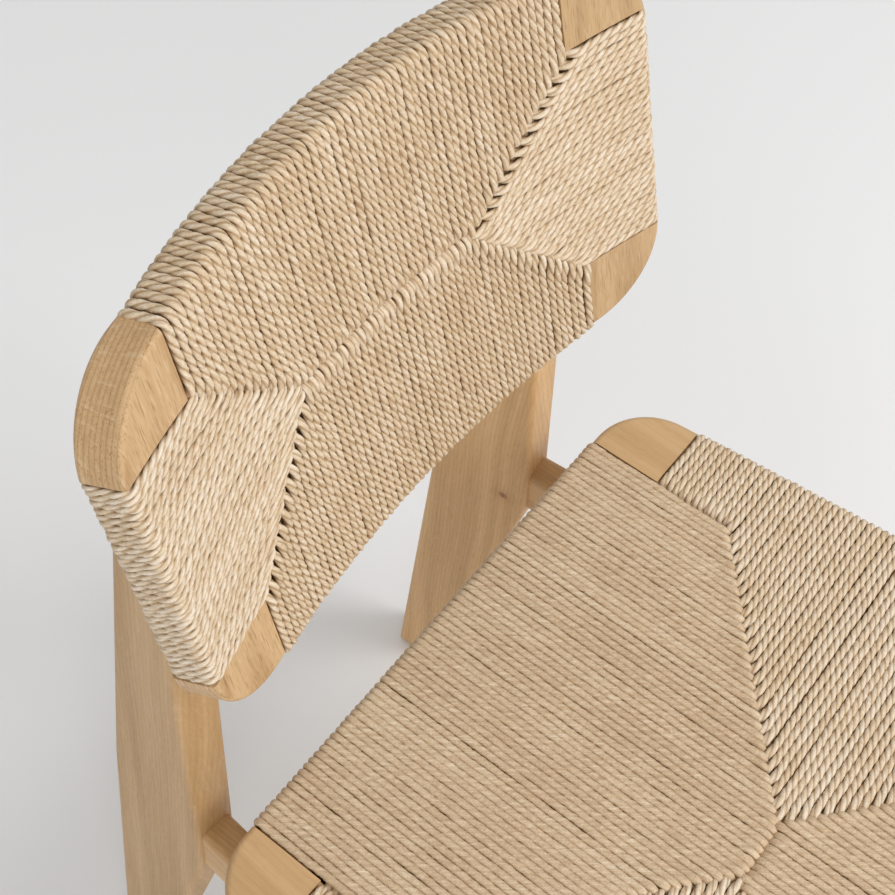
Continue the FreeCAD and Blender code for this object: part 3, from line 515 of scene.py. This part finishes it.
# Oak's look: noise scales in the log's frame, growth rings to the metre, shades by level, and their shares
OAK_WAVER_SCALE = 3.5
OAK_WAVER = 0.008
OAK_RINGS = 430.0
OAK_BANDS = (110.0, 2.0, 1.0)
OAK_PORES = (2100.0, 2100.0, 100.0)
OAK_FIBRES = (420.0, 420.0, 9.0)
OAK_RAYS = (110.0, 110.0, 110.0)
BAND_SHADES = ((0.3, (0.56, 0.36, 0.18)), (0.55, (0.66, 0.44, 0.235)), (0.75, (0.74, 0.52, 0.30)))
RING_SHADES = [(0.0, (0.70, 0.63, 0.54)), (0.3, 1.0), (0.8, 1.0), (1.0, (0.80, 0.74, 0.67))]
FIBRE_SHADES = [(0.3, (0.84, 0.80, 0.74)), (0.6, 1.0)]
PORE_SHADES = [(0.33, (0.60, 0.51, 0.41)), (0.42, 1.0)]
RAY_LEVELS = [(0.66, 0.0), (0.72, 1.0)]
RAY_PALE = (0.9, 0.75, 0.55)
RING_SHARE = 0.8
FIBRE_SHARE = 0.7
PORE_SHARE = 0.75
RAY_SHARE = 0.10
OAK_ROUGH = [(0.3, 0.52), (0.7, 0.42)]
OAK_RELIEF = {"Strength": 0.12, "Distance": 0.0003}
KNOT = ("rear_leg_left", (142.1, 181.3, 346.8))
KNOT_REACH = 14.0
KNOT_SHADES = [(0.0, (0.36, 0.27, 0.19)), (0.16, (0.50, 0.40, 0.30)), (0.32, (0.90, 0.87, 0.83)), (1.0, 1.0)]

# Small fittings' look
FITTING_SPECKS = (900.0, 900.0, 900.0)
FITTING_DARK = 0.8
FITTING_SMOOTH = 0.8


def node_tree(name):
    material = bpy.data.materials.new(name)
    material.use_nodes = True
    tree = material.node_tree
    return material, tree, tree.nodes["Principled BSDF"]


def add_node(tree, kind, inputs=None, **settings):
    """A node with its settings, and its inputs as values or as links from other nodes' outputs."""
    node = tree.nodes.new(kind)
    for key, value in settings.items():
        setattr(node, key, value)
    for key, value in (inputs or {}).items():
        if isinstance(value, bpy.types.NodeSocket):
            tree.links.new(value, node.inputs[key])
        else:
            node.inputs[key].default_value = value
    return node


def ramp(tree, factor, stops):
    """A colour ramp; each stop is a place and a colour or a grey."""
    node = add_node(tree, "ShaderNodeValToRGB", {"Fac": factor})
    points = node.color_ramp.elements
    while len(points) < len(stops):
        points.new(0.5)
    for point, (place, colour) in zip(points, stops):
        point.position = place
        point.color = (*colour, 1) if isinstance(colour, tuple) else (colour, colour, colour, 1)
    return node.outputs["Color"]


def mix(tree, kind, factor, first, second):
    node = add_node(tree, "ShaderNodeMix", data_type="RGBA", blend_type=kind)
    for socket, value in ((node.inputs[0], factor), (node.inputs[6], first), (node.inputs[7], second)):
        if isinstance(value, bpy.types.NodeSocket):
            tree.links.new(value, socket)
        else:
            socket.default_value = (*value, 1) if isinstance(value, tuple) else value
    return node.outputs[2]


def math_node(tree, operation, first, second):
    return add_node(tree, "ShaderNodeMath", {0: first, 1: second}, operation=operation).outputs[0]


def noise(tree, place, scale, detail):
    """Noise at a place, stretched by a scale for each direction."""
    stretched = add_node(tree, "ShaderNodeMapping", {0: place, "Scale": scale}).outputs[0]
    inputs = {"Vector": stretched, "Scale": 1.0, "Detail": detail}
    return add_node(tree, "ShaderNodeTexNoise", inputs).outputs["Fac"]


def weighted(tree, *parts):
    """The sum of values, each times its weight."""
    total = None
    for value, weight in parts:
        share = math_node(tree, "MULTIPLY", value, weight)
        total = share if total is None else math_node(tree, "ADD", total, share)
    return total


def paper_cord():
    """Matte twisted paper: painted shade in the ply grooves and the gaps between cords, fine fibres along the
    plies, a tone for each cord.
    """
    material, tree, shader = node_tree("paper_cord")
    cord = add_node(tree, "ShaderNodeUVMap", uv_map="Cord").outputs[0]
    place = add_node(tree, "ShaderNodeTexCoord").outputs["Object"]
    tone = add_node(tree, "ShaderNodeAttribute", attribute_name="tone").outputs["Fac"]
    painted_lightness = add_node(tree, "ShaderNodeAttribute", attribute_name="painted_lightness").outputs["Fac"]
    streaks = noise(tree, cord, CORD_STREAKS, 4.0)
    patches = noise(tree, cord, CORD_PATCHES, 2.0)
    specks = noise(tree, place, CORD_SPECKS, 2.0)
    drift = noise(tree, place, CORD_DRIFT, 3.0)
    level = weighted(tree, *zip((streaks, patches, specks, drift, tone), CORD_SHARES))
    colour = ramp(tree, level, CORD_SHADES)
    # Multiplies the painted shade of grooves and gaps into the colour.
    groove = ramp(tree, painted_lightness, PAINTED_GROOVE_SHADE)
    colour = mix(tree, "MULTIPLY", 1.0, colour, groove)
    tree.links.new(colour, shader.inputs["Base Color"])
    tree.links.new(ramp(tree, streaks, CORD_ROUGH), shader.inputs["Roughness"])
    shader.inputs["Specular IOR Level"].default_value = 0.35
    height = weighted(tree, (streaks, 0.6), (specks, 0.4))
    bump = add_node(tree, "ShaderNodeBump", {"Height": height, **CORD_RELIEF})
    tree.links.new(bump.outputs[0], shader.inputs["Normal"])
    return material


def oak(name, grain, pith, tone, figure, warmth, knot=None):
    """Oiled oak: growth rings round a pith line, pores along the grain, rays from the pith, maybe a knot."""
    material, tree, shader = node_tree(name)
    place = add_node(tree, "ShaderNodeTexCoord").outputs["Object"]
    turn = Vector(grain).rotation_difference(Vector((0, 0, 1)))
    log = add_node(tree, "ShaderNodeMapping", {
        0: place, "Location": -(turn @ pith), "Rotation": turn.to_euler()}).outputs[0]
    inputs = {"Vector": log, "Scale": OAK_WAVER_SCALE, "Detail": 2.0}
    waver = add_node(tree, "ShaderNodeTexNoise", inputs).outputs["Color"]
    drifted = mix(tree, "LINEAR_LIGHT", OAK_WAVER, log, waver)
    x, y, z = add_node(tree, "ShaderNodeSeparateXYZ", {0: drifted}).outputs
    across = add_node(tree, "ShaderNodeCombineXYZ", {0: x, 1: y}).outputs[0]
    radius = add_node(tree, "ShaderNodeVectorMath", {0: across}, operation="LENGTH").outputs["Value"]
    angle = math_node(tree, "ARCTAN2", y, x)
    rings = math_node(tree, "FRACT", math_node(tree, "MULTIPLY", radius, OAK_RINGS), 0.0)
    ring_place = add_node(tree, "ShaderNodeCombineXYZ", {0: radius, 1: z}).outputs[0]
    bands = noise(tree, ring_place, OAK_BANDS, 3.0)
    pores = noise(tree, log, OAK_PORES, 1.0)
    fibres = noise(tree, log, OAK_FIBRES, 4.0)
    ray_place = add_node(tree, "ShaderNodeCombineXYZ", {0: radius, 1: angle, 2: z}).outputs[0]
    rays = noise(tree, ray_place, OAK_RAYS, 0.0)
    tint = (tone, tone * (1 - warmth / 3), tone * (1 - warmth))
    tinted = [(stop, tuple(np.multiply(tint, shade).tolist())) for stop, shade in BAND_SHADES]
    colour = ramp(tree, bands, tinted)
    early = ramp(tree, rings, RING_SHADES)
    colour = mix(tree, "MULTIPLY", RING_SHARE * figure, colour, early)
    streak = ramp(tree, fibres, FIBRE_SHADES)
    colour = mix(tree, "MULTIPLY", FIBRE_SHARE * figure, colour, streak)
    pits = ramp(tree, pores, PORE_SHADES)
    colour = mix(tree, "MULTIPLY", PORE_SHARE * figure, colour, pits)
    fleck = ramp(tree, rays, RAY_LEVELS)
    fleck = math_node(tree, "MULTIPLY", fleck, RAY_SHARE * figure)
    colour = mix(tree, "SCREEN", fleck, colour, RAY_PALE)
    if knot:
        gap = add_node(tree, "ShaderNodeVectorMath", {0: place, 1: Vector(knot) * MM}, operation="DISTANCE")
        near = math_node(tree, "DIVIDE", gap.outputs["Value"], KNOT_REACH * MM)
        colour = mix(tree, "MULTIPLY", 1.0, colour, ramp(tree, near, KNOT_SHADES))
    tree.links.new(colour, shader.inputs["Base Color"])
    tree.links.new(ramp(tree, fibres, OAK_ROUGH), shader.inputs["Roughness"])
    shader.inputs["Specular IOR Level"].default_value = 0.3
    bump = add_node(tree, "ShaderNodeBump", {"Height": pores, **OAK_RELIEF})
    tree.links.new(bump.outputs[0], shader.inputs["Normal"])
    return material


def plain_finish(name, colour, rough, metal):
    """Small hidden fittings: a colour with fine unevenness."""
    material, tree, shader = node_tree(name)
    place = add_node(tree, "ShaderNodeTexCoord").outputs["Object"]
    specks = noise(tree, place, FITTING_SPECKS, 3.0)
    dark = tuple(FITTING_DARK * part for part in colour)
    tree.links.new(ramp(tree, specks, [(0.3, dark), (0.7, colour)]), shader.inputs["Base Color"])
    roughness = ramp(tree, specks, [(0.3, rough), (0.7, rough * FITTING_SMOOTH)])
    tree.links.new(roughness, shader.inputs["Roughness"])
    shader.inputs["Metallic"].default_value = metal
    return material


def dress(node, material):
    """Gives a CAD node one material."""
    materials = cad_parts[node].data.materials
    materials.clear()
    materials.append(material)


random = np.random.default_rng(SEED)
cord_material = paper_cord()
for name, section in SECTIONS.items():
    woven_section(name, section, cord_material, random)
for first, second in FACING:
    inner_runs(first, second, cord_material)

# Each oak piece: the way its grain runs, how far its log's pith lies from its middle, tone, figure and warmth
UPRIGHT = (0, 0, 1)
LEAN = (0, math.sin(RECLINE), math.cos(RECLINE))
SPLAYED = (0, 0.1, -1)
ACROSS = (1, 0, 0)
LENGTHWISE = (0, 1, 0)
GRAIN = {
    "back_left_post": (LEAN, (40, 130, 0), 0.86, 0.75, 0.0),
    "back_right_post": (LEAN, (-30, 130, 0), 0.94, 1.0, 0.0),
    "back_top_rail": (ACROSS, (0, 60, 90), 0.95, 0.7, 0.0),
    "back_bottom_rail": (ACROSS, (0, 70, 80), 0.95, 0.7, 0.0),
    "rear_leg_left": (SPLAYED, (90, 150, 0), 1.05, 0.45, 0.16),
    "rear_leg_right": (SPLAYED, (-110, 140, 0), 0.79, 0.4, 0.16),
    "front_leg_left": (UPRIGHT, (70, -110, 0), 1.0, 0.5, 0.16),
    "front_leg_right": (UPRIGHT, (-80, -120, 0), 1.0, 0.5, 0.16),
    "side_rail_left": (LENGTHWISE, (50, 0, 80), 1.0, 0.5, 0.16),
    "side_rail_right": (LENGTHWISE, (-60, 0, 70), 0.95, 0.5, 0.16),
    "seat_left_rail": (LENGTHWISE, (30, 0, -90), 0.89, 0.25, 0.09),
    "seat_right_rail": (LENGTHWISE, (-50, 0, -110), 0.89, 0.25, 0.09),
    "seat_back_rail": (ACROSS, (0, 90, -100), 0.95, 0.5, 0.09),
    "seat_front_rail": (ACROSS, (0, -90, -100), 0.95, 0.5, 0.09),
    "rear_cross_rail": (ACROSS, (0, 100, 90), 0.97, 0.5, 0.16),
    "front_cross_rail": (ACROSS, (0, -100, 90), 1.0, 0.5, 0.16),
    "back_plugs": (LENGTHWISE, (90, 0, 100), 0.92, 0.8, 0.0),
}
for node, (grain, offset, tone, figure, warmth) in GRAIN.items():
    low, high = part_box(node)
    pith = (low + high) / 2 + Vector(offset) * MM
    material = oak(f"oak_{node}", grain, pith, tone, figure, warmth, KNOT[1] if node == KNOT[0] else None)
    dress(node, material)

BEECH = ("beech", (0.62, 0.46, 0.30), 0.6, 0.0)
ZINC = ("zinc", (0.6, 0.6, 0.62), 0.35, 1.0)
NYLON = ("nylon", (0.10, 0.09, 0.08), 0.5, 0.0)
FITTINGS = {
    "side_frame_dowels": BEECH,
    "front_leg_dowels": BEECH,
    "cross_rail_dowels": BEECH,
    "seat_frame_dowels": BEECH,
    "back_screws": ZINC,
    "seat_screws": ZINC,
    "back_spacers": NYLON,
    "foot_glides": NYLON,
}
for node, (name, colour, rough, metal) in FITTINGS.items():
    dress(node, plain_finish(f"{name}_{node}", colour, rough, metal))

# Floor, light and camera, in metres where not said
FLOOR_HALF = 30
FLOOR_GREY = 0.92
FLOOR_UNEVEN = 0.005
FLOOR_SOLID = 1.6
FLOOR_FADED = 3.4
WORLD_LIGHT = 0.52
BACKDROP = 0.80
floor_mesh = bpy.data.meshes.new("floor")
floor_corners = [(x * FLOOR_HALF, y * FLOOR_HALF, 0) for x, y in ((-1, -1), (1, -1), (1, 1), (-1, 1))]
floor_mesh.from_pydata(floor_corners, [], [(0, 1, 2, 3)])
floor = add_object("floor", floor_mesh)
floor_material, tree, shader = node_tree("pale_floor")
place = add_node(tree, "ShaderNodeTexCoord").outputs["Object"]
cloud = noise(tree, place, (2.0, 2.0, 2.0), 2.0)
greys = ramp(tree, cloud, [(0.3, FLOOR_GREY - FLOOR_UNEVEN), (0.7, FLOOR_GREY + FLOOR_UNEVEN)])
tree.links.new(greys, shader.inputs["Base Color"])
shader.inputs["Roughness"].default_value = 0.9
from_chair = add_node(tree, "ShaderNodeVectorMath", {0: place}, operation="LENGTH").outputs["Value"]
share = math_node(tree, "DIVIDE", from_chair, FLOOR_FADED)
tree.links.new(ramp(tree, share, [(FLOOR_SOLID / FLOOR_FADED, 1.0), (1.0, 0.0)]), shader.inputs["Alpha"])
floor_mesh.materials.append(floor_material)

world = bpy.data.worlds.new("studio")
bpy.context.scene.world = world
world.use_nodes = True
tree = world.node_tree
sky = tree.nodes["Background"]
sky.inputs["Color"].default_value = (1.0, 1.0, 1.0, 1.0)
rays = add_node(tree, "ShaderNodeLightPath").outputs
seen = math_node(tree, "MAXIMUM", rays["Is Camera Ray"], rays["Is Glossy Ray"])
seen = math_node(tree, "MAXIMUM", seen, rays["Is Transmission Ray"])
more = math_node(tree, "MULTIPLY", seen, BACKDROP - WORLD_LIGHT)
tree.links.new(math_node(tree, "ADD", more, WORLD_LIGHT), sky.inputs["Strength"])


def area_light(name, place, target, wide, power):
    light = bpy.data.lights.new(name, "AREA")
    light.size = wide
    light.energy = power
    lamp = add_object(name, light)
    lamp.location = place
    lamp.rotation_euler = (Vector(target) - Vector(place)).to_track_quat("-Z", "Y").to_euler()


area_light("key", place=(0.75, -1.95, 2.75), target=(0, 0.05, 0.55), wide=1.6, power=57)
area_light("fill", place=(-1.9, -1.5, 1.8), target=(0, 0.05, 0.6), wide=1.6, power=21)

CAMERA_PLACE = Vector((-343.1, -113.9, 1257.4)) * MM
CAMERA_TARGET = Vector((10.01, 152.16, 621.05)) * MM
CAMERA_ROLL = math.radians(1.77)
FOCAL_PIXELS = 1600.3
IMAGE_SIDE = 895
OPTICAL_CENTRE = (422.5, 408.5)
camera_data = bpy.data.cameras.new("camera")
camera = add_object("camera", camera_data)
camera_data.sensor_width = 36.0
camera_data.lens = camera_data.sensor_width * FOCAL_PIXELS / IMAGE_SIDE
camera_data.shift_x = 0.5 - OPTICAL_CENTRE[0] / IMAGE_SIDE
camera_data.shift_y = OPTICAL_CENTRE[1] / IMAGE_SIDE - 0.5
camera.location = CAMERA_PLACE
aim = (CAMERA_TARGET - CAMERA_PLACE).to_track_quat("-Z", "Y")
camera.rotation_mode = "QUATERNION"
camera.rotation_quaternion = aim @ Matrix.Rotation(CAMERA_ROLL, 3, "Z").to_quaternion()
bpy.context.scene.camera = camera
bpy.context.scene.view_settings.view_transform = "Standard"
